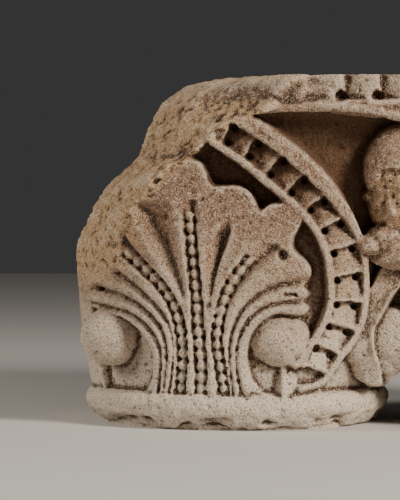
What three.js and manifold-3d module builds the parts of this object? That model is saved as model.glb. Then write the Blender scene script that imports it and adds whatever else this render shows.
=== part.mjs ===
// A double capital of weathered limestone, carved in one block for a pair of columns.
// Two round baskets stand on astragal rings and merge under one oblong abacus. Each basket carries a
// palmette with beaded ribs and curled lobes, framed by a drilled ladder band that runs down from the
// abacus to the ring, and a head with a lost face sits in the middle of the front. The upper left end
// is broken off. The back repeats the layout without beads or drilling.
// Millimetres, origin under the middle of the block, +X along the front, -Y towards the viewer, +Z up.
import * as THREE from "three";
import { mergeVertices } from "three/addons/utils/BufferGeometryUtils.js";
import Module from "manifold-3d";

const wasm = await Module();
wasm.setup();

// Driving dimensions
const HEIGHT = 300;
const HALF_LENGTH = 288;
const HALF_DEPTH = 150;
const BASKET_X = 147; // each column's axis, from the middle
const RING_RADIUS = 135;
const RING_HEIGHT = 31;
const ABACUS_HEIGHT = 25;
const CELL_PITCH = 30; // cells along the abacus
const CELL_LENGTH = 25.5;
const CELL_DEPTH = 7;
const CELL_RIM = 3; // left over each cell
const FIRST_CELL = 21.6; // outer end of the cell nearest the middle
const ROLL_RADIUS = 4.5; // moulding under the abacus
const ROLL_DIP = 8; // over the head
const ROLL_DIP_HALF = 26;
const FLUTE_SINK = 4; // the palmette's ground lies this far under the carving surface
const LEAF_BED = 42; // thickness of the palmette, with what is bedded in the field
const RIB_STEPS = 6;
const BEAD_PITCH = 9.8;
const BEAD_HEIGHT = 5;
const BALL_RADIUS = 25;
const BAND_CELLS = 12;
const BAND_CELL_DEPTH = 9;
const DRILL_RADIUS = 2.8;
const DRILL_LENGTH = 44; // from the point inside the stone to the wide end in front of it
const DRILL_ACROSS = 0.23; // shares of the cell, from its upper corner
const DRILL_DOWN = 0.2;

// The bell's carving surface by height: half depth, half length to the outer end and to the middle,
// how square the plan is on those two sides, and how far the field is cut back.
const BELL = [
  { z: 26, deep: 129, outer: 129, inner: 124, outerPower: 2, innerPower: 2, field: 12 },
  { z: 58, deep: 136, outer: 135, inner: 148, outerPower: 2, innerPower: 2.2, field: 18 },
  { z: 100, deep: 141, outer: 141, inner: 150, outerPower: 2, innerPower: 2.8, field: 22 },
  { z: 140, deep: 143, outer: 143, inner: 150, outerPower: 2, innerPower: 3.2, field: 24 },
  { z: 190, deep: 143, outer: 143, inner: 150, outerPower: 2.5, innerPower: 4, field: 26 },
  { z: 240, deep: 144, outer: 143, inner: 150, outerPower: 4, innerPower: 6, field: 26 },
  { z: 262, deep: 145, outer: 143, inner: 150, outerPower: 6, innerPower: 8, field: 16 },
  { z: 277, deep: 146, outer: 143, inner: 150, outerPower: 8, innerPower: 8, field: 3 },
];

// Drawing of one palmette on the front of the left basket: x from the basket's axis, z from the bed.
// The ribs run from the ring to the lobes' tips, and some have a row of beads on their right. The back
// has only a few of them, and notches between their tips in place of the lobes.
const LEAF_LOBES = [
  { x: -33, z: 207, radius: 21 },
  { x: 8, z: 188, radius: 19 },
  { x: 46, z: 172, radius: 19 },
  { x: -70, z: 190, radius: 18 },
  { x: 51, z: 132, radius: 19 },
  { x: -97, z: 172, radius: 17 },
  { x: -104, z: 134, radius: 17 },
];
const RIBS = [
  { path: [[-60, 26], [-55, 60], [-61, 81], [-93, 103], [-128, 110]] },
  { path: [[-54, 26], [-49, 64], [-55, 90], [-94, 120], [-122, 128]] },
  { path: [[-48, 26], [-44, 66], [-50, 95], [-67, 117], [-89, 135]], beads: true },
  { path: [[-35, 26], [-34, 80], [-38, 106], [-65, 152], [-86, 186]] },
  { path: [[-32, 26], [-32, 72], [-33, 112], [-38, 145], [-50, 204]], beads: true },
  { path: [[-14, 26], [-17, 74], [-18, 112], [-20, 144], [-14, 200]] },
  { path: [[-12, 26], [-14, 74], [-12, 103], [4, 139], [26, 183]], beads: true },
  { path: [[3, 26], [-3, 66], [0, 100], [23, 135], [50, 156]] },
  { path: [[10, 26], [4, 57], [6, 84], [34, 126], [62, 137]] },
  { path: [[22, 26], [11, 54], [13, 80], [36, 104], [64, 112]] },
];
const BACK_RIBS = [0, 3, 4, 6, 9];
const BACK_NOTCH = 0.55; // how far a hollow stops short, as a share of its last step
const BALLS = [
  [-102, -80, 77.5],
  [45, -115, 79],
];
const BAND_INNER = [[-42, 272], [-13, 243], [26, 217], [61, 185], [82, 147], [87, 118], [80, 86], [62, 62]];
const BAND_OUTER = [[6, 274], [53, 233], [94, 187], [115, 138], [117, 108], [106, 72], [88, 49], [62, 36]];
const BAND_WALL = 36; // thickness of the band, with what is bedded in the field
const FILLET_WIDTH = 6.5;
const FILLET_CREST = 3;

// Middle of the front: a head with its face broken off, the knot under it, and under the knot the
// stalks and curled lobes between the two bands.
const SKULL = { centre: [0, -112, 222], radii: [37, 37, 40] };
const JAW = { centre: [0, -108, 198], radii: [31, 34, 36] };
const EAR = { centre: [34, -110, 199], radii: [5, 9, 6] };
const LOST_FACE = { y: -141, z: 180, lean: 0.16, width: 100, deep: 40, high: 84 };
const KNOT = { centre: [0, -102, 157], radii: [43, 26, 16] };
const LOWER_LOBE = { centre: [-17, -72, 75], radii: [27, 26, 32] };
const STALK_PATH = [[-9, -102, 142], [-21, -106, 106], [-28, -104, 80], [-34, -97, 36]];
const STALK_HALF = 9;
const STALK_BED = 30; // depth behind its ridge

// Short end's tongue, and the stone between the two baskets behind the head and the stalks.
const TONGUE = { foot: 24, halfFoot: 60, spring: 150, halfWidth: 52, sink: 1 };
const CORE_HALF_WIDTH = 34;
const CORE_LEVELS = [
  { z: 54, deep: 36 },
  { z: 100, deep: 70 },
  { z: 170, deep: 84 },
  { z: 277, deep: 110 },
];

// Left end's break: what lies to the left of this line is lost, and further in towards the front.
// The stump is stone at that corner that lost all its carving.
const BREAK_LINE = [
  { x: -330, z: 90, front: 80 },
  { x: -300, z: 120, front: 84 },
  { x: -290, z: 150, front: 84 },
  { x: -275, z: 182, front: 64 },
  { x: -253, z: 214, front: 62 },
  { x: -235, z: 230, front: 65 },
  { x: -226, z: 246, front: 70 },
  { x: -220, z: 267, front: 80 },
  { x: -206, z: 287, front: 100 },
  { x: -188, z: 296, front: 100 },
  { x: -140, z: 301, front: 60 },
];
const BREAK_STEPS = 4; // from the middle of the depth to the front
const STUMP = { x: -92, back: 20, low: 118, high: 270, sink: 1 };

const stone = new THREE.MeshStandardMaterial({ color: "#c9ab8c", roughness: 0.92, metalness: 0 });

// Solids

// A closed solid from points and triangles, turned so that its faces point out.
function solidOf(points, triangles) {
  let volume = 0;
  for (const [a, b, c] of triangles) {
    volume += points[a].dot(new THREE.Vector3().crossVectors(points[b], points[c]));
  }
  const facing = volume < 0 ? triangles.map(([a, b, c]) => [a, c, b]) : triangles;
  return new wasm.Manifold(
    new wasm.Mesh({
      numProp: 3,
      vertProperties: new Float32Array(points.flatMap((p) => p.toArray())),
      triVerts: new Uint32Array(facing.flat()),
    }),
  );
}

// The solid inside a three.js geometry, in place.
function solidOfGeometry(geometry, matrix = new THREE.Matrix4()) {
  const bare = geometry.clone().applyMatrix4(matrix);
  bare.deleteAttribute("normal");
  bare.deleteAttribute("uv");
  const merged = mergeVertices(bare, 1e-3);
  const position = merged.getAttribute("position");
  const points = [];
  for (let i = 0; i < position.count; i += 1) {
    points.push(new THREE.Vector3().fromBufferAttribute(position, i));
  }
  const triangles = [];
  for (let i = 0; i < merged.index.count; i += 3) {
    triangles.push([0, 1, 2].map((corner) => merged.index.getX(i + corner)));
  }
  return solidOf(points, triangles.filter(([a, b, c]) => a !== b && b !== c && c !== a));
}

// A skin through rings of points, with flat ends.
function skin(rings, cap) {
  const count = rings[0].length;
  const points = rings.flat();
  const triangles = [];
  for (let ring = 0; ring + 1 < rings.length; ring += 1) {
    for (let i = 0; i < count; i += 1) {
      const [a, b] = [ring * count + i, ring * count + ((i + 1) % count)];
      triangles.push([a, b, b + count], [a, b + count, a + count]);
    }
  }
  const last = points.length - count;
  for (const [a, b, c] of cap ?? fan(count)) {
    triangles.push([a, c, b], [last + a, last + b, last + c]);
  }
  return solidOf(points, triangles);
}

function fan(count) {
  return Array.from({ length: count - 2 }, (_, i) => [0, i + 1, i + 2]);
}

function joined(solids) {
  return solids.reduce((all, solid) => all.add(solid));
}

function ellipsoid(centre, radii, around = 12, up = 7) {
  const matrix = new THREE.Matrix4().makeScale(...radii).setPosition(...centre);
  const ball = new THREE.SphereGeometry(1, around, up).rotateX(Math.PI / 2);
  return solidOfGeometry(ball, matrix);
}

// The bell

function bellAt(z) {
  const top = BELL.length - 1;
  const next = THREE.MathUtils.clamp(BELL.findIndex((level) => level.z >= z), 1, top);
  const [low, high] = z > BELL[top].z ? [BELL[top - 1], BELL[top]] : [BELL[next - 1], BELL[next]];
  const share = THREE.MathUtils.clamp((z - low.z) / (high.z - low.z), 0, 1);
  const mixed = Object.keys(low).map((key) => [key, THREE.MathUtils.lerp(low[key], high[key], share)]);
  return Object.fromEntries(mixed);
}

// One height's plan, sunk below the carving surface by a depth.
function bellRing(level, sink, count = 24) {
  return Array.from({ length: count }, (_, i) => {
    const angle = (2 * Math.PI * (i + 0.5)) / count;
    const [c, s] = [Math.cos(angle), Math.sin(angle)];
    const half = c < 0 ? level.outer - sink : level.inner;
    const power = c < 0 ? level.outerPower : level.innerPower;
    const x = Math.sign(c) * half * Math.abs(c) ** (2 / power);
    const y = Math.sign(s) * (level.deep - sink) * Math.abs(s) ** (2 / power);
    return new THREE.Vector3(x - BASKET_X, y, level.z);
  });
}

function bell(sinkAt) {
  return skin(BELL.map((level) => bellRing(level, sinkAt(level))));
}

// The front of the carving surface behind a point of the elevation, and the way it faces.
function onBell(x, z) {
  const depth = (px, pz) => {
    const level = bellAt(pz);
    const [half, power] = px < 0 ? [level.outer, level.outerPower] : [level.inner, level.innerPower];
    return level.deep * (1 - Math.min(Math.abs(px) / half, 0.98) ** power) ** (1 / power);
  };
  const slopeX = depth(x + 0.5, z) - depth(x - 0.5, z);
  const slopeZ = depth(x, z + 0.5) - depth(x, z - 0.5);
  return {
    point: new THREE.Vector3(x - BASKET_X, -depth(x, z), z),
    normal: new THREE.Vector3(-slopeX, -1, -slopeZ).normalize(),
  };
}

// Places along a drawn line on the carving surface: where, which way it faces and which way it runs.
function along(path, steps) {
  const line = new THREE.SplineCurve(path.map(([x, z]) => new THREE.Vector2(x, z)));
  const places = line.getSpacedPoints(steps).map((p) => onBell(p.x, p.y));
  return places.map(({ point, normal }, i) => {
    const before = places[Math.max(i - 1, 0)].point;
    const after = places[Math.min(i + 1, steps)].point;
    return { point, normal, forward: after.clone().sub(before).normalize() };
  });
}

// Palmette

// Fluted ground: each rib is a crest, and between two ribs lies a hollow, with a row of beads in some.
function flutedLeaf(drawn, notch) {
  const ribs = drawn.map(({ path }) => along(path, RIB_STEPS));
  const columns = ribs.flatMap((rib, i) => {
    const crest = rib.map((place) => place.point);
    if (i + 1 === ribs.length) {
      return [crest];
    }
    if (!drawn[i].beads) {
      return [crest, hollow(rib, ribs[i + 1], 0.5, notch)];
    }
    const [left, right] = [0.2, 0.8].map((share) => hollow(rib, ribs[i + 1], share, notch));
    return [crest, left, beadRow(left, right), right];
  });
  return slab(columns);
}

// A line in the hollow, at a share of the way from one rib to the next, that may stop short of the tips.
function hollow(rib, nextRib, share, notch) {
  const line = rib.map((place, step) => {
    const next = nextRib[step].point;
    const sink = Math.min(FLUTE_SINK, 0.5 * place.point.distanceTo(next));
    return place.point.clone().lerp(next, share).addScaledVector(place.normal, -sink);
  });
  line.at(-1).lerp(line.at(-2), notch);
  return line;
}

// The top line of a row of beads along the middle of a hollow.
function beadRow(left, right) {
  const line = new THREE.CatmullRomCurve3(left.map((point, i) => point.clone().lerp(right[i], 0.5)));
  const beads = Math.round(line.getLength() / BEAD_PITCH);
  return line.getSpacedPoints(2 * beads).map((point, i) => {
    const out = point.clone().setX(point.x + BASKET_X).setZ(0).normalize();
    return point.addScaledVector(out, i % 2 === 0 ? 0 : BEAD_HEIGHT);
  });
}

// A carved face through columns of points, on a bed inside the field.
function slab(columns) {
  const points = [...columns.flat(), ...columns.flat().map(bedded)];
  const bed = points.length / 2;
  const starts = columns.map((_, i) => columns.slice(0, i).flat().length);
  const ends = columns.map((column, i) => starts[i] + column.length - 1);
  const triangles = [];
  const face = (a, b, c) => triangles.push([a, b, c], [a + bed, c + bed, b + bed]);
  const wall = (a, b) => triangles.push([a, b + bed, b], [a, a + bed, b + bed]);
  for (let i = 0; i + 1 < columns.length; i += 1) {
    let [a, b] = [starts[i], starts[i + 1]];
    while (a < ends[i] || b < ends[i + 1]) {
      const leftShare = (a + 0.5 - starts[i]) / (ends[i] - starts[i]);
      const rightShare = (b + 0.5 - starts[i + 1]) / (ends[i + 1] - starts[i + 1]);
      if (a < ends[i] && (leftShare <= rightShare || b === ends[i + 1])) {
        face(a, b, a + 1);
        a += 1;
      } else {
        face(a, b, b + 1);
        b += 1;
      }
    }
    wall(starts[i], starts[i + 1]);
    wall(ends[i + 1], ends[i]);
  }
  const last = columns.length - 1;
  for (let a = starts[0]; a < ends[0]; a += 1) {
    wall(a + 1, a);
  }
  for (let a = starts[last]; a < ends[last]; a += 1) {
    wall(a, a + 1);
  }
  return solidOf(points, triangles);
}

// The place behind a point of the carving, inside the field.
function bedded(point) {
  const share = 1 - LEAF_BED / HALF_DEPTH;
  return new THREE.Vector3((point.x + BASKET_X) * share - BASKET_X, point.y * share, point.z);
}

// A rounded leaf tip, lying flat against the bell.
function lobe({ x, z, radius }) {
  const { point, normal } = onBell(x, z);
  const turn = new THREE.Quaternion().setFromUnitVectors(new THREE.Vector3(0, 1, 0), normal);
  const middle = point.addScaledVector(normal, -LEAF_BED / 2);
  const matrix = new THREE.Matrix4().compose(middle, turn, new THREE.Vector3(1, 1, 1));
  return solidOfGeometry(new THREE.CylinderGeometry(radius, radius, LEAF_BED - 2, 8), matrix);
}

function curledBall([x, y, z]) {
  return solidOfGeometry(new THREE.IcosahedronGeometry(BALL_RADIUS, 1).translate(x - BASKET_X, y, z));
}

function palmette() {
  return joined([flutedLeaf(RIBS, 0), ...LEAF_LOBES.map(lobe), ...BALLS.map(curledBall)]);
}

function plainPalmette() {
  const ribs = BACK_RIBS.map((i) => ({ path: RIBS[i].path }));
  return joined([flutedLeaf(ribs, BACK_NOTCH), ...BALLS.map(curledBall)]);
}

// Ladder band

// The band's section between two fillets, with its floor at a lift from the carving surface.
function bandSection(inner, outer, lift) {
  const half = FILLET_WIDTH / 2;
  const across = outer.point.clone().sub(inner.point).normalize();
  const at = ({ point, normal }, side, height) =>
    point.clone().addScaledVector(normal, height).addScaledVector(across, side);
  return [
    at(inner, -half, -BAND_WALL),
    at(outer, half, -BAND_WALL),
    at(outer, half, FILLET_CREST),
    at(outer, -half, FILLET_CREST),
    at(outer, -half, lift),
    at(inner, half, lift),
    at(inner, half, FILLET_CREST),
    at(inner, -half, FILLET_CREST),
  ];
}
const BAND_CAP = [[0, 1, 4], [0, 4, 5], [1, 2, 3], [1, 3, 4], [5, 6, 7], [5, 7, 0]];

function stepped(place) {
  return { ...place, point: place.point.clone().addScaledVector(place.forward, 0.5) };
}

// A pointed drill hole in a corner of a cell.
function drill(from, towards, next) {
  const place = from.point.clone().lerp(towards.point, DRILL_ACROSS).lerp(next.point, DRILL_DOWN);
  const turn = new THREE.Quaternion().setFromUnitVectors(new THREE.Vector3(0, -1, 0), from.normal);
  const matrix = new THREE.Matrix4().compose(place, turn, new THREE.Vector3(1, 1, 1));
  return solidOfGeometry(new THREE.ConeGeometry(1.5 * DRILL_RADIUS, DRILL_LENGTH, 5), matrix);
}

// Each cell slopes up from its drilled upper edge to the step over the next cell.
function band(drilled) {
  const inner = along(BAND_INNER, BAND_CELLS);
  const outer = along(BAND_OUTER, BAND_CELLS);
  const rings = inner.flatMap((place, i) => [
    bandSection(place, outer[i], 0),
    bandSection(stepped(place), stepped(outer[i]), -BAND_CELL_DEPTH),
  ]);
  const ladder = skin(rings.slice(1, -1), BAND_CAP);
  if (!drilled) {
    return ladder;
  }
  const drills = [];
  for (let i = 0; i < BAND_CELLS; i += 1) {
    drills.push(drill(inner[i], outer[i], inner[i + 1]), drill(outer[i], inner[i], outer[i + 1]));
  }
  return ladder.subtract(joined(drills));
}

// The band at the back, a plain sunk strip between its fillets.
function plainBand() {
  const inner = along(BAND_INNER, BAND_CELLS / 2);
  const outer = along(BAND_OUTER, BAND_CELLS / 2);
  return skin(inner.map((place, i) => bandSection(place, outer[i], -BAND_CELL_DEPTH / 2)), BAND_CAP);
}

// Rings, baskets and abacus

function ring() {
  const profile = [[0, 0], [118, 0], [129, 7], [RING_RADIUS, 18], [131, RING_HEIGHT], [0, RING_HEIGHT]];
  const turned = new THREE.LatheGeometry(profile.map(([r, z]) => new THREE.Vector2(r, z)), 30);
  return solidOfGeometry(turned.rotateX(Math.PI / 2).translate(-BASKET_X, 0, 0));
}

// A plain upright tongue in the middle of the short end.
function endTongue() {
  const shape = new THREE.Shape();
  const { foot, halfFoot, spring, halfWidth } = TONGUE;
  shape.moveTo(-halfFoot, foot).lineTo(halfFoot, foot).lineTo(halfWidth, spring);
  shape.absarc(0, spring, halfWidth, 0, Math.PI);
  const plate = new THREE.ExtrudeGeometry(shape, { depth: BASKET_X, bevelEnabled: false, curveSegments: 6 });
  const turn = new THREE.Matrix4().set(0, 0, -1, -BASKET_X, 1, 0, 0, 0, 0, 1, 0, 0, 0, 0, 0, 1);
  return solidOfGeometry(plate, turn).intersect(bell(() => TONGUE.sink));
}

function abacus() {
  const plate = new THREE.BoxGeometry(2 * HALF_LENGTH, 2 * HALF_DEPTH, ABACUS_HEIGHT);
  const cells = [];
  for (let x = FIRST_CELL; x + CELL_PITCH < HALF_LENGTH; x += CELL_PITCH) {
    cells.push(abacusCell(x, 1), abacusCell(x, -1));
  }
  return solidOfGeometry(plate.translate(0, 0, HEIGHT - ABACUS_HEIGHT / 2)).subtract(joined(cells));
}

// A cell is a shallow wedge, deep on its side away from the middle.
function abacusCell(x, side) {
  const shape = new THREE.Shape();
  shape.moveTo(side * x, -HALF_DEPTH + CELL_DEPTH);
  shape.lineTo(side * (x - CELL_LENGTH), -HALF_DEPTH);
  shape.lineTo(side * x, -HALF_DEPTH - 1);
  const wedge = new THREE.ExtrudeGeometry(shape, { depth: ABACUS_HEIGHT, bevelEnabled: false });
  return solidOfGeometry(wedge.translate(0, 0, HEIGHT - ABACUS_HEIGHT - CELL_RIM));
}

// The roll under the abacus, which dips over the head.
function abacusRoll() {
  const dip = (x) => ROLL_DIP * Math.exp(-((x / ROLL_DIP_HALF) ** 2));
  const rings = [-HALF_LENGTH, -55, -30, -15, 0, 15, 30, 55, HALF_LENGTH].map((x) => {
    const [back, front] = [-HALF_DEPTH + 6 * ROLL_RADIUS, -HALF_DEPTH];
    const top = HEIGHT - ABACUS_HEIGHT + 1;
    const bottom = top - 2 * ROLL_RADIUS - dip(x);
    const rounding = [[front, bottom + 0.6 * ROLL_RADIUS], [front + ROLL_RADIUS, bottom]];
    const section = [[back, top], [front, top], ...rounding, [back, bottom]];
    return section.map(([y, z]) => new THREE.Vector3(x, y, z));
  });
  return skin(rings);
}

// Middle of the front

function head() {
  const skull = ellipsoid(SKULL.centre, SKULL.radii);
  const jaw = ellipsoid(JAW.centre, JAW.radii);
  const ear = ellipsoid(EAR.centre, EAR.radii, 6, 4);
  const face = new THREE.BoxGeometry(LOST_FACE.width, LOST_FACE.deep, LOST_FACE.high);
  face.rotateX(-LOST_FACE.lean).translate(0, LOST_FACE.y - LOST_FACE.deep / 2, LOST_FACE.z);
  return joined([skull, jaw, onBothSides(ear)]).subtract(solidOfGeometry(face));
}

// A broad stalk from the knot under the head down to the ring, with a blunt ridge along its front.
function stalk() {
  const line = new THREE.CatmullRomCurve3(STALK_PATH.map((p) => new THREE.Vector3(...p)));
  const [half, bed] = [STALK_HALF, STALK_BED];
  const section = [[-half, bed], [-half, 0.2 * half], [0, -0.4 * half], [half, 0.4 * half], [half, bed]];
  const ringAt = (p) => section.map(([x, y]) => new THREE.Vector3(p.x + x, p.y + y, p.z));
  return skin(line.getPoints(5).map(ringAt));
}

// Lost upper left end

function lostEnd() {
  const [outside, above] = [-HALF_LENGTH - 120, HEIGHT + 60];
  const corners = [[BREAK_LINE.at(-1).x, above], [outside, above], [outside, BREAK_LINE[0].z]];
  const outline = [...BREAK_LINE, ...corners.map(([x, z]) => ({ x, z, front: 0 }))];
  const cap = THREE.ShapeUtils.triangulateShape(outline.map(({ x, z }) => new THREE.Vector2(x, z)), []);
  const depths = Array.from({ length: BREAK_STEPS + 2 }, (_, i) => (i - 1) / BREAK_STEPS - 1);
  const shifted = (share) => ({ x, z, front }) =>
    new THREE.Vector3(x + front * Math.min(share, 0) ** 2, share * HALF_DEPTH, z);
  const rings = [...depths, 1.3].map((share) => outline.map(shifted(share)));
  return skin(rings, cap);
}

function stump() {
  const [left, right] = [-HALF_LENGTH, STUMP.x - BASKET_X];
  const [front, back] = [-HALF_DEPTH, STUMP.back];
  const block = new THREE.BoxGeometry(right - left, back - front, STUMP.high - STUMP.low);
  block.translate((left + right) / 2, (front + back) / 2, (STUMP.low + STUMP.high) / 2);
  return solidOfGeometry(block).intersect(bell(() => STUMP.sink));
}

// The whole block

const mirrored = (solid) => solid.mirror([1, 0, 0]);
const toBack = (solid) => solid.mirror([0, 1, 0]);
const onBothSides = (solid) => solid.add(mirrored(solid));

function core() {
  const half = CORE_HALF_WIDTH;
  const rings = CORE_LEVELS.map(({ z, deep }) => {
    const corners = [[-half, -deep], [half, -deep], [half, deep], [-half, deep]];
    return corners.map(([x, y]) => new THREE.Vector3(x, y, z));
  });
  return skin(rings);
}

function capital() {
  const middle = joined([stalk(), ellipsoid(LOWER_LOBE.centre, LOWER_LOBE.radii)]);
  const left = joined([palmette(), band(true), stump()]);
  const right = mirrored(joined([palmette(), band(false)]));
  const back = toBack(joined([plainPalmette(), plainBand()]));
  const basket = joined([bell((level) => level.field), ring(), endTongue(), middle, back]);
  const top = joined([abacus(), abacusRoll(), head(), ellipsoid(KNOT.centre, KNOT.radii)]);
  return joined([core(), onBothSides(basket), left, right, top]).subtract(lostEnd());
}

function meshOf(solid, name) {
  const { vertProperties, triVerts, numProp } = solid.getMesh();
  const geometry = new THREE.BufferGeometry();
  const positions = new Float32Array((vertProperties.length / numProp) * 3);
  for (let i = 0; i < positions.length / 3; i += 1) {
    positions.set(vertProperties.subarray(i * numProp, i * numProp + 3), i * 3);
  }
  geometry.setAttribute("position", new THREE.BufferAttribute(positions, 3));
  geometry.setIndex(new THREE.BufferAttribute(triVerts, 1));
  geometry.computeVertexNormals();
  const mesh = new THREE.Mesh(geometry, stone);
  mesh.name = name;
  return mesh;
}

const part = new THREE.Group();
part.add(meshOf(capital(), "capital"));

export default part;
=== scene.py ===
import math
import bpy
import numpy as np
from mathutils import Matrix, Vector


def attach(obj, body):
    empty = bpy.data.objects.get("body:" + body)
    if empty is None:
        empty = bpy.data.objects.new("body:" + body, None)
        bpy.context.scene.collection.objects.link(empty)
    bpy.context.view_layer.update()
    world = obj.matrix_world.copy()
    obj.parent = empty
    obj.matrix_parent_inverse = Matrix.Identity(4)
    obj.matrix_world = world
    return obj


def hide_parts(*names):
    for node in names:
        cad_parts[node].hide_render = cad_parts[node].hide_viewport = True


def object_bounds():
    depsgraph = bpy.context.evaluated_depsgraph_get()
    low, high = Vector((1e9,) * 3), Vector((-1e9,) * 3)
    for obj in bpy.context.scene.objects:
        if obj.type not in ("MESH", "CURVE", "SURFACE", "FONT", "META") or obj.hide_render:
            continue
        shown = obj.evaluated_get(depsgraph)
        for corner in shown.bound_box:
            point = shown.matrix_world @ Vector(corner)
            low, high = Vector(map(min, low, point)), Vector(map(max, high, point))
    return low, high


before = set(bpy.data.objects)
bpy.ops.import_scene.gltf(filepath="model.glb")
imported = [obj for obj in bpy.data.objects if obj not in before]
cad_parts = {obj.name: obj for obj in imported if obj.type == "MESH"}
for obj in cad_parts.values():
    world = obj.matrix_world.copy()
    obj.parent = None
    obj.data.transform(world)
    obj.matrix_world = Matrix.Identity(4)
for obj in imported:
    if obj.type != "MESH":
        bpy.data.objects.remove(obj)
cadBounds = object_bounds()
mm = 0.001
lowest = np.array(cadBounds[0]) / mm
highest = np.array(cadBounds[1]) / mm


# measuring helpers, all in millimetres

def ramp(low, high, values):
    share = np.clip((values - low) / (high - low), 0, 1)
    return share * share * (3 - 2 * share)


def smoothLine(points, steps=6, closed=False):
    spots = np.array(points, float)
    if closed:
        ends = (spots[-1:], spots, spots[:2])
    else:
        ends = (2 * spots[:1] - spots[1:2], spots, 2 * spots[-1:] - spots[-2:-1])
    guide = np.vstack(ends)
    line = []
    for before, here, there, after in zip(guide[:-3], guide[1:-2], guide[2:-1], guide[3:]):
        square = 2 * before - 5 * here + 4 * there - after
        cube = 3 * here - before - 3 * there + after
        for share in np.arange(steps) / steps:
            curved = square * share ** 2 + cube * share ** 3
            line.append(here + 0.5 * ((there - before) * share + curved))
    if not closed:
        line.append(spots[-1])
    return np.array(line)


# distance to a drawn line, length along it to the nearest spot, and the side (left of the line is 1)
def measure(x, z, line):
    best = np.full(x.shape, 1e9)
    reached = np.zeros(x.shape)
    side = np.ones(x.shape)
    passed = 0.0
    for (startX, startZ), (stopX, stopZ) in zip(line[:-1], line[1:]):
        length = math.hypot(stopX - startX, stopZ - startZ)
        wayX = (stopX - startX) / length
        wayZ = (stopZ - startZ) / length
        along = np.clip((x - startX) * wayX + (z - startZ) * wayZ, 0, length)
        gap = np.hypot(x - startX - along * wayX, z - startZ - along * wayZ)
        closer = gap < best
        best = np.where(closer, gap, best)
        reached = np.where(closer, passed + along, reached)
        side = np.where(closer, np.sign(wayX * (z - startZ) - wayZ * (x - startX)), side)
        passed += length
    return best, reached, side


def lineLength(line):
    return np.sum(np.hypot(*np.diff(line, axis=0).T))


# distance outside a closed outline, negative inside it
def outside(x, z, outline):
    loop = np.vstack([outline, outline[:1]])
    gap = measure(x, z, loop)[0]
    inside = np.zeros(x.shape, bool)
    for (startX, startZ), (stopX, stopZ) in zip(loop[:-1], loop[1:]):
        if startZ != stopZ:
            crossing = (stopX - startX) * (z - startZ) / (stopZ - startZ) + startX
            inside ^= ((startZ > z) != (stopZ > z)) & (x < crossing)
    return np.where(inside, -gap, gap)


# smooth random values from -1 to 1, in lumps of a given size
scatter = {
    "turn": np.array([[0.36, 0.48, -0.8], [-0.8, 0.6, 0.0], [0.48, 0.64, 0.6]]),
    "primes": np.array([73856093, 19349663, 83492791]),
    "seedShift": 17.31,
    "seedPrime": 961748927,
    "mixPrime": 1274126177,
    "mixBits": 13,
    "most": 0xFFFFFF,
}


def lumps(points, size, seed):
    spots = points @ scatter["turn"] / size + seed * scatter["seedShift"]
    cell = np.floor(spots).astype(np.int64)
    part = spots - cell
    part = part * part * (3 - 2 * part)
    total = np.zeros(len(points))
    for corner in np.ndindex(2, 2, 2):
        key = (cell + corner) @ scatter["primes"] + seed * scatter["seedPrime"]
        key = (key ^ (key >> scatter["mixBits"])) * scatter["mixPrime"] & scatter["most"]
        weight = np.prod(np.where(corner, part, 1 - part), axis=1)
        total += weight * (key / scatter["most"] * 2 - 1)
    return total


# lumps of several sizes added up, each row with its height, size and seed
def roughness(points, rows, start=0):
    return sum((height * lumps(points, size, seed) for height, size, seed in rows), start)


# mesh helpers

def readPoints(piece):
    flat = np.empty(len(piece.data.vertices) * 3)
    piece.data.vertices.foreach_get("co", flat)
    return flat.reshape(-1, 3) / mm


def readNormals(piece):
    flat = np.empty(len(piece.data.vertices) * 3)
    piece.data.vertices.foreach_get("normal", flat)
    return flat.reshape(-1, 3)


def movePoints(piece, points):
    piece.data.vertices.foreach_set("co", (points * mm).ravel())
    piece.data.update()


def only(piece):
    bpy.ops.object.select_all(action="DESELECT")
    piece.select_set(True)
    bpy.context.view_layer.objects.active = piece


def named(name):
    piece = bpy.context.object
    piece.name = name
    return piece


def applied(piece, kind, **settings):
    only(piece)
    modifier = piece.modifiers.new(kind.lower(), kind)
    for key, value in settings.items():
        setattr(modifier, key, value)
    bpy.ops.object.modifier_apply(modifier=modifier.name)


def faceOutward(piece, close=False):
    only(piece)
    bpy.ops.object.mode_set(mode="EDIT")
    bpy.ops.mesh.select_all(action="SELECT")
    if close:
        bpy.ops.mesh.remove_doubles(threshold=0.02 * mm)
        bpy.ops.mesh.fill_holes(sides=0)
        bpy.ops.mesh.select_all(action="SELECT")
    bpy.ops.mesh.normals_make_consistent(inside=False)
    bpy.ops.object.mode_set(mode="OBJECT")


def thicken(piece, way):
    only(piece)
    bpy.ops.object.mode_set(mode="EDIT")
    bpy.ops.mesh.select_all(action="SELECT")
    bpy.ops.mesh.extrude_region_move(TRANSFORM_OT_translate={"value": way})
    bpy.ops.object.mode_set(mode="OBJECT")
    faceOutward(piece)


# takes away everything between a sheet and its copy moved some way off
def cutAway(piece, sheet, way):
    thicken(sheet, way)
    applied(piece, "BOOLEAN", operation="DIFFERENCE", solver="MANIFOLD", object=sheet)
    bpy.data.objects.remove(sheet)


def joined(pieces, name):
    only(pieces[0])
    for piece in pieces:
        piece.select_set(True)
    bpy.ops.object.join()
    return named(name)


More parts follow.
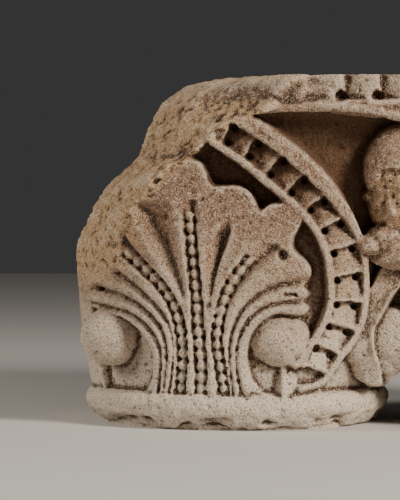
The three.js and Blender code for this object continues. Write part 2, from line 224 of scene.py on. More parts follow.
# thinning can fold two faces flat on each other or leave a flap, and those go
def dropStrays(piece):
    for _ in range(3):
        corners = np.empty(len(piece.data.polygons) * 3, np.int64)
        piece.data.polygons.foreach_get("vertices", corners)
        corners = np.sort(corners.reshape(-1, 3), axis=1)
        _, which, times = np.unique(corners, axis=0, return_inverse=True, return_counts=True)
        stray = times[which.ravel()] > 1
        sides = np.vstack([corners[:, :2], corners[:, 1:], corners[:, ::2]])
        _, which, times = np.unique(sides, axis=0, return_inverse=True, return_counts=True)
        stray |= np.any(times[which.reshape(3, -1)] == 1, axis=0)
        print("stray faces", np.sum(stray))
        if not np.any(stray):
            break
        only(piece)
        bpy.context.tool_settings.mesh_select_mode = (False, False, True)
        bpy.ops.object.mode_set(mode="EDIT")
        bpy.ops.mesh.select_all(action="DESELECT")
        bpy.ops.object.mode_set(mode="OBJECT")
        piece.data.polygons.foreach_set("select", stray)
        bpy.ops.object.mode_set(mode="EDIT")
        bpy.ops.mesh.delete(type="FACE")
        bpy.ops.object.mode_set(mode="OBJECT")
        bpy.context.tool_settings.mesh_select_mode = (True, False, False)


def mirrored(piece):
    only(piece)
    bpy.ops.object.duplicate()
    twin = bpy.context.object
    movePoints(twin, readPoints(twin) * [-1, 1, 1])
    faceOutward(twin)
    return twin


def roundLump(name, centre, radii, rough, seed):
    bpy.ops.mesh.primitive_ico_sphere_add(subdivisions=5, radius=1)
    piece = named(name)
    points = readPoints(piece) * mm
    rows = ((rough, 0.4, seed), (0.5 * rough, 0.17, seed + 1))  # sizes as shares of the radius
    grain = roughness(points, rows, 1)
    movePoints(piece, points * grain[:, None] * radii + centre)
    return piece


def stem(name, points, radii):
    bpy.ops.curve.primitive_bezier_curve_add()
    piece = named(name)
    curve = piece.data
    curve.splines.clear()
    spline = curve.splines.new("BEZIER")
    spline.bezier_points.add(len(points) - 1)
    for spot, place, radius in zip(spline.bezier_points, points, radii):
        spot.co = [v * mm for v in place]
        spot.radius = radius
        spot.handle_left_type = spot.handle_right_type = "AUTO"
    curve.bevel_depth = mm
    curve.bevel_resolution = 5
    curve.resolution_u = 10
    curve.use_fill_caps = True
    only(piece)
    bpy.ops.object.convert(target="MESH")
    return bpy.context.object


# bell of one basket: plan by height, and how deep the field is cut back from the carved surface

axisX = 147
bell = {
    "z": [26, 58, 100, 140, 190, 240, 262, 277],
    "deep": [129, 136, 141, 143, 143, 144, 145, 146],
    "outer": [129, 135, 141, 143, 143, 143, 143, 143],
    "inner": [124, 148, 150, 150, 150, 150, 150, 150],
    "outerPower": [2, 2, 2, 2, 2.5, 4, 6, 8],
    "innerPower": [2, 2.2, 2.8, 3.2, 4, 6, 8, 8],
    "field": [8, 12, 18, 20, 25, 29, 24, 6],
}


def bellAt(key, z):
    return np.interp(z, bell["z"], bell[key])


# palmette, drawn on the elevation: x from the basket's axis towards the middle, z from the bed
# a flute lies between two crests, and its rise is how far it takes to come up right of its valley

leaf = {
    "outline": [
        (25, 24), (18, 45), (15, 64), (20, 82), (29, 93), (41, 100), (53, 99), (63, 99), (68, 104),
        (64, 110), (67, 115), (67, 119), (63, 123), (68, 128), (70, 136), (66, 144), (56, 153),
        (55, 162), (60, 172), (63, 182), (52, 191), (36, 191), (27, 186), (20, 200), (8, 207),
        (-6, 206), (-15, 209), (-21, 225), (-34, 229), (-50, 222), (-57, 210), (-70, 208), (-82, 203),
        (-88, 192), (-98, 193), (-110, 187), (-114, 177), (-107, 165), (-107, 156), (-116, 149),
        (-124, 139), (-128, 129), (-124, 122), (-134, 115), (-133, 105), (-112, 100), (-93, 95),
        (-79, 86), (-69, 74), (-65, 60), (-66, 44), (-68, 24),
    ],
    "edgeDrop": 30,
    "edgeSlope": 2.8,
    "footSlope": 9,
    "footHeights": (85, 50),
    "fluted": [
        (-82, 22), (-78, 60), (-84, 84), (-138, 98), (-132, 134), (-102, 143), (-96, 158), (-90, 198),
        (-54, 198), (-43, 194), (-26, 194), (-20, 172), (-14, 160), (1, 182), (6, 160), (26, 160),
        (42, 157), (54, 146), (74, 140), (74, 96), (40, 88), (40, 22),
    ],
    "flutedFade": 2.5,
    "cut": 8.5,
    "cutPower": 2.6,
    "worn": 1.6,
    "crestDepth": 0.2,
    "crests": [
        [(-33, 24), (-33, 70), (-34, 112), (-38, 145), (-45, 179), (-48, 198)],
        [(-34, 86), (-37, 105), (-48, 125), (-65, 152), (-77, 172), (-86, 196)],
        [(-14, 24), (-17, 74), (-18, 112), (-20, 144), (-17, 170), (-12, 188)],
        [(-16, 80), (-12, 102), (-6, 119), (4, 139), (16, 162), (24, 180)],
        [(2, 24), (-1, 56), (-1, 76), (5, 99), (19, 118), (38, 131), (70, 138)],
        [(9, 24), (5, 52), (5, 70), (9, 87), (19, 102), (37, 112), (70, 118)],
        [(17, 24), (11, 50), (10, 64), (14, 81), (23, 93), (37, 102), (70, 104)],
        [(-65, 24), (-61, 57), (-63, 70), (-72, 83), (-90, 95), (-130, 103)],
        [(-59, 24), (-55, 59), (-59, 80), (-73, 96), (-94, 105), (-136, 111)],
        [(-55, 24), (-50, 63), (-54, 88), (-73, 109), (-94, 121), (-126, 130)],
        [(-49, 24), (-44, 66), (-49, 95), (-67, 117), (-94, 140)],
    ],
    "flutes": [
        {
            "left": 1, "right": 0, "rise": 40, "top": 199,
            "valley": [(-35, 92), (-36, 104), (-40, 124), (-55, 158), (-70, 183), (-76, 194)],
        },
        {
            "left": 2, "right": 3, "rise": 4, "top": 181,
            "valley": [(-16, 88), (-16, 108), (-13, 129), (-6, 150), (0, 167), (2, 178)],
        },
    ],
    "fluteCut": 10,
    "fluteLeast": 1.2,
    "fluteRim": (1, 6.5),
    "fluteWidth": 16,
    "fluteFade": 18,
    "beadRows": [
        {
            "path": [(-23.5, 31), (-23.5, 61), (-25.5, 90), (-27, 119), (-30, 150), (-33, 187)],
            "root": 3.8, "tip": 3,
        },
        {
            "path": [(-42, 31), (-39.5, 61), (-41, 83), (-46, 104), (-57, 122), (-72, 136), (-91, 152)],
            "root": 3, "tip": 3.1,
        },
        {
            "path": [(-3, 31), (-7, 60), (-9, 78), (-6, 100), (2, 123), (13, 138), (21, 147)],
            "root": 3, "tip": 3.1,
        },
    ],
    "beadPitch": 9.8,
    "beadHalfLength": 0.42,  # share of the pitch
    "beadTop": 2,
    "beadFall": 1.8,
    "beadEdge": (0.96, 1.14),
    "channelMargin": 2.2,
    "channel": 8.5,
    "dotDepth": 4,
    "dotInset": 1.2,
    "dotEdge": (1.6, 0.7),
    "drills": [
        (47, 149, 4.3, 5), (-119, 120, 4, 14), (49, 116, 1.7, 9), (53, 116, 1.7, 9), (57, 116, 1.7, 9),
    ],
    "drillEdge": 0.7,
}


def leafDepth(x, z, finished):
    near = np.full(x.shape, 60.0)
    second = np.full(x.shape, 60.0)
    for crest in leaf["crests"]:
        gap = measure(x, z, smoothLine(crest))[0]
        second = np.minimum(second, np.maximum(near, gap))
        near = np.minimum(near, gap)
    groove = leaf["cut"] * (2 * near / (near + second)) ** leaf["cutPower"]
    for flute in leaf["flutes"]:
        left = smoothLine(leaf["crests"][flute["left"]])
        right = smoothLine(leaf["crests"][flute["right"]])[::-1]
        gap, _, side = measure(x, z, smoothLine(flute["valley"]))
        sunk = np.minimum(leaf["fluteCut"], 0.5 * (near + second)) * ramp(*leaf["fluteRim"], near)
        sunk = sunk * (1 - 0.4 * ramp(0, leaf["fluteWidth"], gap))
        sunk = np.where(side < 0, sunk * ramp(flute["rise"], 0.2 * flute["rise"], gap), sunk)
        sunk = leaf["fluteLeast"] + sunk * ramp(flute["top"], flute["top"] - leaf["fluteFade"], z)
        sunk = np.minimum(sunk, 0.9 * near + leaf["crestDepth"])
        groove = np.where(outside(x, z, np.vstack([left, right])) < 0, sunk, groove)
    fluted = outside(x, z, np.array(leaf["fluted"], float))
    zone = ramp(leaf["flutedFade"], -leaf["flutedFade"], fluted)
    depth = leaf["worn"] * (1 - zone) + (leaf["crestDepth"] + groove) * zone
    for row in leaf["beadRows"] if finished else []:
        line = smoothLine(row["path"])
        gap, reached, _ = measure(x, z, line)
        length = lineLength(line)
        pitch = length / round(length / leaf["beadPitch"])
        radius = row["root"] + (row["tip"] - row["root"]) * reached / length
        step = reached % pitch - pitch / 2
        lengthwise = np.abs(step / (leaf["beadHalfLength"] * pitch))
        spread = (np.abs(gap / radius) ** 3 + lengthwise ** 3) ** (1 / 3)
        drop = leaf["channel"] - leaf["beadTop"] - leaf["beadFall"]
        bead = leaf["beadTop"] + leaf["beadFall"] * spread ** 3 + drop * ramp(*leaf["beadEdge"], spread)
        edge = radius + leaf["channelMargin"]
        dots = np.hypot(gap - edge + leaf["dotInset"], np.abs(step) - pitch / 2)
        bead = bead + leaf["dotDepth"] * ramp(*leaf["dotEdge"], dots)
        depth = np.where((gap < edge) & (reached < length - 0.2), bead, depth)
    slope = leaf["edgeSlope"] + leaf["footSlope"] * ramp(*leaf["footHeights"], z)
    off = outside(x, z, smoothLine(leaf["outline"], 4, True))
    return depth + leaf["edgeDrop"] * ramp(-0.5, slope, off)


def leafDrills(x, z):
    depth = np.zeros(x.shape)
    edge = leaf["drillEdge"]
    for spotX, spotZ, radius, deep in leaf["drills"]:
        gap = np.hypot(x - spotX, z - spotZ)
        depth = np.maximum(depth, deep * ramp(radius + edge, radius - edge, gap))
    return depth


# ladder band: each rung is a pair of drill holes, inner and outer, from the abacus down to the ring
# a turn counts rungs along the band, and late is the lower part, where the band is thinner and higher

band = {
    "rungs": [
        ((-38, 272), (-36, 288)), ((-19, 258), (-15, 272)), ((0, 243), (6, 256)), ((18, 231), (26, 243)),
        ((36, 216), (47, 228)), ((54, 201), (65, 212)), ((70, 186), (82, 194)), ((82, 169), (96, 175)),
        ((90, 150), (106, 154)), ((93, 127), (109, 130)), ((92.5, 107), (108, 105)), ((86, 88), (101, 83)),
        ((75, 70), (87, 64)), ((61, 51), (76, 48)), ((52, 53), (66, 44)), ((44, 55), (54, 43)),
    ],
    "firstHole": 2,
    "lastHole": 13,
    "holeRadius": 3.1,
    "holeEdge": 0.7,
    "holeDepth": 21,
    "cellStart": 0.16,  # share of a turn above its holes
    "cellDepth": 10,
    "cellPower": 1.15,
    "cornerDepth": 2.5,
    "rungDepth": 4.6,
    "lateTurns": (5, 8.5),
    "lateLift": 3.2,
    "innerFillet": 6,
    "innerHalf": 3,
    "outerFillet": 7.5,
    "outerHalf": 4.4,
    "outerHalfLoss": 1.9,
    "outerSlope": 0.55,
    "outerSlopeGain": 0.35,
    "filletFall": 2.2,
    "filletDrop": 30,
    "plainDepth": 5,
    "endTurns": (14.5, 15),
    "endDrop": 40,
}


def bandDepth(x, z, finished):
    rungs = np.array(band["rungs"], float)
    marks = np.arange(len(rungs))
    gaps = []
    turns = []
    for edge, sign in ((0, 1), (1, -1)):
        line = smoothLine(rungs[:, edge])
        arcs = np.concatenate([[0], np.cumsum(np.hypot(*np.diff(line, axis=0).T))])
        gap, reached, side = measure(x, z, line)
        gaps.append(gap * side * sign)
        turns.append(np.interp(reached, arcs[::6], marks))
    inward, outward = gaps
    across = np.clip(inward / np.maximum(inward + outward, 1), 0, 1)
    turn = turns[0] * (1 - across) + turns[1] * across
    late = ramp(*band["lateTurns"], turn)
    if finished:
        fall = (turn + band["cellStart"]) % 1
        corners = band["cornerDepth"] * (1 - fall) * (2 * across - 1) ** 2
        hollow = band["cellDepth"] * (1 - fall) ** band["cellPower"] + corners
        hollow = np.where(turn > band["lastHole"] - band["cellStart"], band["cellDepth"], hollow)
        depth = hollow + band["rungDepth"] - band["lateLift"] * late
    else:
        depth = np.full(x.shape, float(band["plainDepth"]))
    edge = np.minimum(inward + band["innerFillet"], outward + band["outerFillet"])
    depth = depth + band["endDrop"] * ramp(0.5, -2, edge)
    outerHalf = band["outerHalf"] - band["outerHalfLoss"] * late
    outerSlope = band["outerSlope"] + band["outerSlopeGain"] * late
    ends = band["endDrop"] * ramp(0.6, -1, outward + inward + 8)
    sides = ((inward, "innerFillet", band["innerHalf"], 1), (outward, "outerFillet", outerHalf, outerSlope))
    for gap, place, halfWidth, slope in sides:
        off = (gap + band[place]) / halfWidth
        off = np.where(off < 0, off * slope, off)
        fillet = -1 + band["filletFall"] * np.abs(off) ** 2.5 + band["filletDrop"] * ramp(1, 1.9, np.abs(off))
        depth = np.minimum(depth, fillet + ends)
    depth = depth + band["endDrop"] * ramp(*band["endTurns"], turn)
    if finished:
        limits = (band["holeRadius"] + band["holeEdge"], band["holeRadius"] - band["holeEdge"])
        for rung in rungs[band["firstHole"]:band["lastHole"] + 1]:
            for spotX, spotZ in rung:
                hole = ramp(*limits, np.hypot(x - spotX, z - spotZ))
                depth = np.maximum(depth, band["holeDepth"] * hole)
    return depth


# plain upright tongue on each short end, with a low ridge up its middle
tongue = {"halfWidth": 66, "top": 200, "shoulder": 60, "depth": 2, "ridge": 2, "ridgeHalf": 7, "edgeDrop": 40}


def tongueDepth(y, z):
    away = np.abs(y)
    halfWidth = tongue["halfWidth"] * np.sqrt(np.clip((tongue["top"] - z) / tongue["shoulder"], 0, 1))
    ridge = tongue["ridge"] * ramp(tongue["ridgeHalf"], 0, away)
    return tongue["depth"] - ridge + tongue["edgeDrop"] * ramp(-1, 2, away - halfWidth)


# stone left standing at the broken corner, with no carving on it, up and to the left of this line
stump = {
    "line": [
        (40, 282), (23, 266), (-2, 258), (-14, 245), (-25, 233), (-38, 226), (-54, 212), (-72, 199),
        (-85, 180), (-93, 158), (-97, 137), (-110, 124), (-128, 117), (-160, 112),
    ],
    "edge": (2, -4),
    "back": 20,
    "backFade": 25,
    "depth": 1,
}

# the basket is a fine grid wrapped round its axis; its inner half is cut straighter in from the front
basket = {
    "columns": 760,
    "rows": 205,
    "straightness": 0.7,
    "straightX": (0, 30),
    "carvedY": 8,
    "carvedX": 132,
    "tongueX": -60,
    "fieldFade": 60,
}


def carvedBasket(name, broken):
    bpy.ops.mesh.primitive_grid_add(x_subdivisions=basket["columns"], y_subdivisions=basket["rows"], size=2)
    piece = named(name)
    flat = readPoints(piece) * mm
    turn = math.pi * flat[:, 0]
    z = bell["z"][0] + (bell["z"][-1] - bell["z"][0]) * (flat[:, 1] + 1) / 2
    wayX = -np.cos(turn)
    wayY = np.sin(turn)
    inner = wayX > 0
    halfX = np.where(inner, bellAt("inner", z), bellAt("outer", z))
    halfY = bellAt("deep", z)
    power = np.where(inner, bellAt("innerPower", z), bellAt("outerPower", z))
    reach = ((np.abs(wayX) / halfX) ** power + (np.abs(wayY) / halfY) ** power) ** (-1 / power)
    x = reach * wayX
    y = reach * wayY
    faceX = np.sign(x) * np.abs(x / halfX) ** (power - 1) / halfX
    faceY = np.sign(y) * np.abs(y / halfY) ** (power - 1) / halfY
    faceX *= 1 - basket["straightness"] * ramp(*basket["straightX"], x)
    faceLength = np.hypot(faceX, faceY)
    depth = bellAt("field", z) * np.where(inner, np.clip(np.abs(y) / basket["fieldFade"], 0, 1), 1)
    for sign, finished in ((-1, True), (1, False)):
        part = (y * sign > basket["carvedY"]) & (x < basket["carvedX"])
        partX = x[part]
        partZ = z[part]
        carving = np.minimum(leafDepth(partX, partZ, finished), bandDepth(partX, partZ, finished))
        depth[part] = np.minimum(depth[part], carving)
        if finished:
            depth[part] = depth[part] + leafDrills(partX, partZ)
    end = x < basket["tongueX"]
    depth[end] = np.minimum(depth[end], tongueDepth(y[end], z[end]))
    if broken:
        gap, _, side = measure(x, z, smoothLine(stump["line"]))
        fill = ramp(*stump["edge"], gap * side) * ramp(stump["back"] + stump["backFade"], stump["back"], y)
        depth = depth + (np.minimum(depth, stump["depth"]) - depth) * fill
    moved = np.stack([x - depth * faceX / faceLength - axisX, y - depth * faceY / faceLength, z], axis=1)
    movePoints(piece, moved if broken else moved * [-1, 1, 1])
    faceOutward(piece, True)
    return piece


print("carving the baskets")
leftBasket = carvedBasket("leftBasket", True)
rightBasket = carvedBasket("rightBasket", False)

# astragal ring, turned; each spot of its profile is radius and height

ring = {
    "profile": [
        (0, 0), (116, 0), (123, 2), (129, 8), (133, 14), (135, 20), (134, 26), (131, 30), (126, 32), (0, 32),
    ],
    "steps": 180,
}


def turnedRing(name):
    bpy.ops.mesh.primitive_plane_add(size=1)
    piece = named(name)
    piece.data.clear_geometry()
    points = [(radius * mm, 0, z * mm) for radius, z in ring["profile"]]
    piece.data.from_pydata(points, [(i, i + 1) for i in range(len(points) - 1)], [])
    turned = {"steps": ring["steps"], "render_steps": ring["steps"]}
    applied(piece, "SCREW", use_merge_vertices=True, merge_threshold=0.01 * mm, **turned)
    faceOutward(piece)
    movePoints(piece, readPoints(piece) + [-axisX, 0, 0])
    return piece


half = [turnedRing("astragal")]

# curled balls of the lowest lobes, on the front and the back: x from the axis, y, z, then radii
balls = {
    "outerBall": {"place": (-102, 80, 77.5), "radii": (28, 26, 25.5), "seed": 3},
    "innerBall": {"place": (43.5, 115, 77.5), "radii": (27, 26, 24), "seed": 4},
}
ballRough = 0.02
# strut left under the inner ball
strut = {"x": 46, "y": 113, "z": 46, "foot": 14, "top": 9, "height": 40}
for side in (-1, 1):
    for name, ball in balls.items():
        x, y, z = ball["place"]
        half.append(roundLump(name, (-axisX + x, side * y, z), ball["radii"], ballRough, ball["seed"]))
    place = ((-axisX + strut["x"]) * mm, side * strut["y"] * mm, strut["z"] * mm)
    widths = {"radius1": strut["foot"] * mm, "radius2": strut["top"] * mm}
    bpy.ops.mesh.primitive_cone_add(vertices=4, depth=strut["height"] * mm, location=place, **widths)
    half.append(named("strut"))
    bpy.ops.object.transform_apply(location=True, rotation=True, scale=True)

# curled lobes behind the middle panel, at the front and the back
lobes = {
    "lowerLobe": {"centre": (-17, -72, 75), "radii": (27, 27, 32), "seed": 5},
    "backLobe": {"centre": (-17, 66, 75), "radii": (27, 26, 32), "seed": 6},
}
lobeRough = 0.03
for name, lobe in lobes.items():
    half.append(roundLump(name, lobe["centre"], lobe["radii"], lobeRough, lobe["seed"]))
twins = [mirrored(piece) for piece in half]

print("head, knot and abacus")
middle = []

# panel between the two bands, drawn left of the middle line: a strap with a rim, a curled lobe and a scoop

panel = {
    "columns": 110,
    "rows": 118,
    "halfWidth": 54,
    "low": 33,
    "high": 150,
    "notchHalf": 16,
    "notchSlope": 1.4,
    "front": -109,
    "thick": 36,
    "strap": [
        (6, 142), (-15, 141), (-26, 122), (-34, 113), (-37, 101), (-41, 86), (-46, 74), (-46, 67),
        (-39, 58), (-35, 49), (-32, 39), (-26, 36), (-18, 38), (-21, 58), (-24, 66), (-25, 83),
        (-20, 94), (-15, 103), (-9, 114), (6, 134),
    ],
    "strapDepth": 3,
    "rim": [(4, 132), (-9, 114), (-15, 103), (-20, 94), (-25, 83), (-24, 66)],
    "rimHeight": 3,
    "rimEdge": (4, 1),
    "crest": [(-48, 72), (-44, 66), (-38, 58), (-34, 48), (-32, 38)],
    "scoop": [
        (-53, 71), (-48, 73), (-44, 67), (-38, 59), (-33, 48), (-31, 39), (-36, 40), (-42, 44),
        (-48, 51), (-52, 60),
    ],
    "scoopDepth": 2,
    "scoopFall": 12,
    "scoopWidth": (-2, 15),
    "edgeDrop": 28,
    "recede": 24,
    "recedeHeights": (74, 32),
    "lobeCentre": (-8, 70),
    "lobeRadii": (17, 34),
    "lobeDepth": 6,
    "lobeFall": 5,
    "lobeEdge": (0.9, 1.15),
}


def panelDepth(x, z):
    off = outside(x, z, smoothLine(panel["strap"], 3, True))
    rim = measure(x, z, smoothLine(panel["rim"]))[0]
    raised = panel["rimHeight"] * ramp(*panel["rimEdge"], rim)
    depth = panel["strapDepth"] - raised + panel["edgeDrop"] * ramp(-0.5, 3, off)
    middleX, middleZ = panel["lobeCentre"]
    halfX, halfZ = panel["lobeRadii"]
    lobe = np.hypot((x - middleX) / halfX, (z - middleZ) / halfZ)
    curled = panel["lobeDepth"] + panel["lobeFall"] * lobe ** 2
    depth = np.minimum(depth, curled + panel["edgeDrop"] * ramp(*panel["lobeEdge"], lobe))
    gap = measure(x, z, smoothLine(panel["crest"]))[0]
    off = outside(x, z, smoothLine(panel["scoop"], 3, True))
    scooped = panel["scoopDepth"] + panel["scoopFall"] * ramp(*panel["scoopWidth"], gap)
    depth = np.minimum(depth, scooped + panel["edgeDrop"] * ramp(-0.5, 2.5, off))
    return depth + panel["recede"] * ramp(*panel["recedeHeights"], z)


bpy.ops.mesh.primitive_grid_add(x_subdivisions=panel["columns"], y_subdivisions=panel["rows"], size=2)
panelPiece = named("middlePanel")
flat = readPoints(panelPiece) * mm
x = flat[:, 0] * panel["halfWidth"]
low = panel["low"] + panel["notchSlope"] * np.clip(panel["notchHalf"] - np.abs(x), 0, None)
z = low + (panel["high"] - low) * (flat[:, 1] + 1) / 2
movePoints(panelPiece, np.stack([x, panel["front"] + panelDepth(-np.abs(x), z), z], axis=1))
thicken(panelPiece, (0, panel["thick"] * mm, 0))
middle.append(panelPiece)

# head: skull and jaw, centre and radii of each, with the front lost below the brow in a rough streaky break
# roughness rows are height, size and seed

voxel = 1.3
head = {
    "masses": [((0, -112, 222), (35, 37, 38.5)), ((0, -108, 198), (31.5, 34, 36))],
    "rough": 0.02,
    "seed": 7,
    "brow": 227,
    "browCurve": 0.023,
    "browRough": [(5, 11, 9)],
    "browEdge": (-5, 6),
    "lostDepth": 6,
    "lostTo": -141,
    "lostMiddle": 202,
    "lostHalf": (40, 46),
    "lostCells": (84, 98),
    "lostBehind": -100.0,
    "lostLift": 45,
    "lostReach": 80,
    "streakStretch": 0.5,
    "streaks": [(2.2, 9, 10), (2.4, 4.5, 11)],
    "grain": [(1.5, 2.6, 12)],
}
masses = []
for centre, radii in head["masses"]:
    masses.append(roundLump("headMass", centre, radii, head["rough"], head["seed"]))
headPiece = joined(masses, "head")
applied(headPiece, "REMESH", mode="VOXEL", voxel_size=voxel * mm, adaptivity=0)
columns, rows = head["lostCells"]
bpy.ops.mesh.primitive_grid_add(x_subdivisions=columns, y_subdivisions=rows, size=2)
cutter = named("lostFace")
flat = readPoints(cutter) * mm
x = flat[:, 0] * head["lostHalf"][0]
z = head["lostMiddle"] + flat[:, 1] * head["lostHalf"][1]
y = np.full(x.shape, head["lostBehind"])
for centre, radii in head["masses"]:
    inside = np.clip(1 - (x / radii[0]) ** 2 - ((z - centre[2]) / radii[2]) ** 2, 0, 1)
    y = np.minimum(y, centre[1] - radii[1] * np.sqrt(inside))
place = np.stack([x, np.maximum(y + head["lostDepth"], head["lostTo"]), z], axis=1)
streaks = place * [1, 1, head["streakStretch"]]
place[:, 1] += roughness(streaks, head["streaks"]) + roughness(place, head["grain"])
brow = head["brow"] - head["browCurve"] * x ** 2 + roughness(place, head["browRough"])
place[:, 1] -= head["lostLift"] * ramp(brow + head["browEdge"][0], brow + head["browEdge"][1], z)
movePoints(cutter, place)
cutAway(headPiece, cutter, (0, -head["lostReach"] * mm, 0))
middle.append(headPiece)

# ears and knot, those beside the middle line once on each side
sideLumps = {
    "ear": {"place": (29.5, -112, 199), "radii": (5, 9, 5), "rough": 0.2, "seed": 12},
    "knotEnd": {"place": (27, -114, 157), "radii": (13, 17, 10), "rough": 0.1, "seed": 13},
    "knotLump": {"place": (13, -110, 163), "radii": (17, 21, 14), "rough": 0.1, "seed": 14},
}
knot = {"centre": (0, -106, 152), "radii": (30, 27, 16), "rough": 0.1, "seed": 15}
for side in (-1, 1):
    for name, lump in sideLumps.items():
        x, y, z = lump["place"]
        middle.append(roundLump(name, (side * x, y, z), lump["radii"], lump["rough"], lump["seed"]))
middle.append(roundLump("knot", knot["centre"], knot["radii"], knot["rough"], knot["seed"]))

# core between the baskets, deeper towards the top
core = {"z": [50, 100, 170, 277], "deep": [34, 70, 86, 116], "halfWidth": 36, "cuts": 23}
bpy.ops.mesh.primitive_cube_add(size=2)
corePiece = named("core")
bpy.ops.object.mode_set(mode="EDIT")
bpy.ops.mesh.select_all(action="SELECT")
bpy.ops.mesh.subdivide(number_cuts=core["cuts"])
bpy.ops.object.mode_set(mode="OBJECT")
points = readPoints(corePiece) * mm
height = core["z"][0] + (core["z"][-1] - core["z"][0]) * (points[:, 2] + 1) / 2
deep = np.interp(height, core["z"], core["deep"])
movePoints(corePiece, np.stack([points[:, 0] * core["halfWidth"], points[:, 1] * deep, height], axis=1))
middle.append(corePiece)

abacus = {"halfLength": 287, "front": -144, "back": 149.5, "low": 275, "high": 299.7}
bpy.ops.mesh.primitive_cube_add(size=2)
slab = named("abacus")
across, depthwise, upward = (readPoints(slab) * mm > 0).T
slabPoints = [
    np.where(across, abacus["halfLength"], -abacus["halfLength"]),
    np.where(depthwise, abacus["back"], abacus["front"]),
    np.where(upward, abacus["high"], abacus["low"]),
]
movePoints(slab, np.stack(slabPoints, axis=1))
middle.append(slab)

# wavy roll under the abacus, x z radius from the end inwards, dipping over the head
# stone fills the gap behind the dip
roll = {
    "halfLine": [
        (284, 271, 5), (140, 271, 5.4), (94, 272.5, 5.4), (52, 272.5, 4.2), (19, 268.7, 4), (6, 265, 4),
        (0, 264, 4),
    ],
    "y": -144.8,
    "behind": [(-60, -137, 274), (0, -137, 270), (60, -137, 274)],
    "behindRadius": 7,
}
wave = [(-x, z, radius) for x, z, radius in roll["halfLine"]] + roll["halfLine"][-2::-1]
middle.append(stem("roll", [(x, roll["y"], z) for x, z, _ in wave], [radius for _, _, radius in wave]))
middle.append(stem("rollBacking", roll["behind"], [roll["behindRadius"]] * len(roll["behind"])))

print("joining the stone")
stone = joined([leftBasket, rightBasket] + half + twins + middle, "limestoneCapital")
bpy.ops.object.transform_apply(location=True, rotation=True, scale=True)
applied(stone, "REMESH", mode="VOXEL", voxel_size=voxel * mm, adaptivity=0)
print("remeshed", len(stone.data.polygons))

# lost upper left end: stone to the left of this line is gone, further in towards the front

lostEnd = {
    "z": [80, 120, 140, 158, 179, 195, 212, 224, 233, 245, 258, 266, 279, 294, 299, 304],
    "x": [-330, -300, -291, -286, -277, -267, -254, -240, -233, -227, -223, -220, -212, -193, -174, -140],
    "front": [80, 86, 86, 79, 62, 54, 51, 52, 63, 70, 80, 98, 108, 106, 95, 60],
    "halfDepth": 150,
    "columns": 150,
    "rows": 120,
    "sheetHalfY": 190,
    "sheetMiddleZ": 192,
    "sheetHalfZ": 112,
    "rough": [(2.5, 26, 21), (1.6, 12, 22)],
    "reach": 400,
}


def breakAt(y, z):
    share = np.clip(-y, 0, None) / lostEnd["halfDepth"]
    front = np.interp(z, lostEnd["z"], lostEnd["front"])
    return np.interp(z, lostEnd["z"], lostEnd["x"]) + front * share ** 2


bpy.ops.mesh.primitive_grid_add(x_subdivisions=lostEnd["columns"], y_subdivisions=lostEnd["rows"], size=2)
cutter = named("lostEnd")
flat = readPoints(cutter) * mm
y = flat[:, 0] * lostEnd["sheetHalfY"]
z = lostEnd["sheetMiddleZ"] + flat[:, 1] * lostEnd["sheetHalfZ"]
place = np.stack([breakAt(y, z), y, z], axis=1)
place[:, 0] += roughness(place, lostEnd["rough"])
movePoints(cutter, place)
cutAway(stone, cutter, (-lostEnd["reach"] * mm, 0, 0))
print("broken", len(stone.data.polygons))

# saw-tooth cells of the abacus, each deepest at its outer end, with a drill hole at the foot

cells = {
    "first": 21.6,
    "pitch": 30,
    "depth": 11,
    "deepest": 0.88,  # share of the pitch
    "toothPower": 1.5,
    "toothEdge": (1, 0.86),
    "holeZ": 282,
    "holeRadius": 4.8,
    "holeEdge": 1,
    "holeDepth": 17,
    "faceY": (-136, -142),
    "lowZ": (277.5, 280),
    "highZ": (302, 298),
    "lastX": 270,
    "lostX": (-86, -60),
}
points = readPoints(stone)
x, y, z = points.T
away = np.abs(x)
count = np.maximum(np.ceil((away - cells["first"]) / cells["pitch"]), 0)
groove = cells["first"] + cells["pitch"] * count
reached = 1 - np.clip((groove - away) / cells["pitch"], 0, 1)
tooth = cells["depth"] * (reached / cells["deepest"]) ** cells["toothPower"]
tooth = tooth * ramp(*cells["toothEdge"], reached)
holeCount = np.maximum(np.round((away - cells["first"]) / cells["pitch"]), 0)
spot = np.hypot(away - (cells["first"] + cells["pitch"] * holeCount), z - cells["holeZ"])
limits = (cells["holeRadius"] + cells["holeEdge"], cells["holeRadius"] - cells["holeEdge"])
hole = cells["holeDepth"] * ramp(*limits, spot)
face = ramp(*cells["faceY"], y) * ramp(*cells["lowZ"], z) * ramp(*cells["highZ"], z) * (away < cells["lastX"])
points[:, 1] += np.maximum(tooth, hole) * face * ramp(*cells["lostX"], x)
movePoints(stone, points)

# weathering: pits everywhere, a scuffed abacus at the broken end, a battered ring
# rows are height, size and seed

weather = {
    "all": [(0.35, 5, 31), (0.3, 2.6, 32)],
    "upper": [(0.5, 4, 42), (0.4, 2.6, 43)],
    "pitDepth": 0.9,
    "pits": (3.6, 33),
    "breakForms": [(1.6, 19, 45), (0.8, 6, 34)],
    "breakGrain": [(1.3, 3.2, 35), (0.9, 2.2, 44)],
    "breakPitDepth": 3,
    "breakPits": (8, 41),
    "scuffDepth": 2.5,
    "scuffs": [(2, 12, 36), (1, 5, 37)],
    "ring": [(1.2, 16, 38), (0.8, 6, 39)],
    "ringLoss": 0.8,
    "chipDepth": 7,
    "chips": (17, 40),
}
normals = readNormals(stone)
broken = ramp(14, 2, x - breakAt(y, z)) * ramp(112, 120, z)
scuffed = ramp(-60, -105, x) * ramp(262, 272, z) * ramp(-120, -140, y) * (1 - broken)
upper = ramp(150, 190, z) * ramp(290, 275, z)
ringWear = ramp(35, 29, z)
lowEdge = ramp(14, 4, z) * ramp(100, 112, np.hypot(away - axisX, y))
wear = roughness(points, weather["all"])
wear += upper * roughness(points, weather["upper"])
wear -= weather["pitDepth"] * ramp(0.45, 0.8, lumps(points, *weather["pits"]))
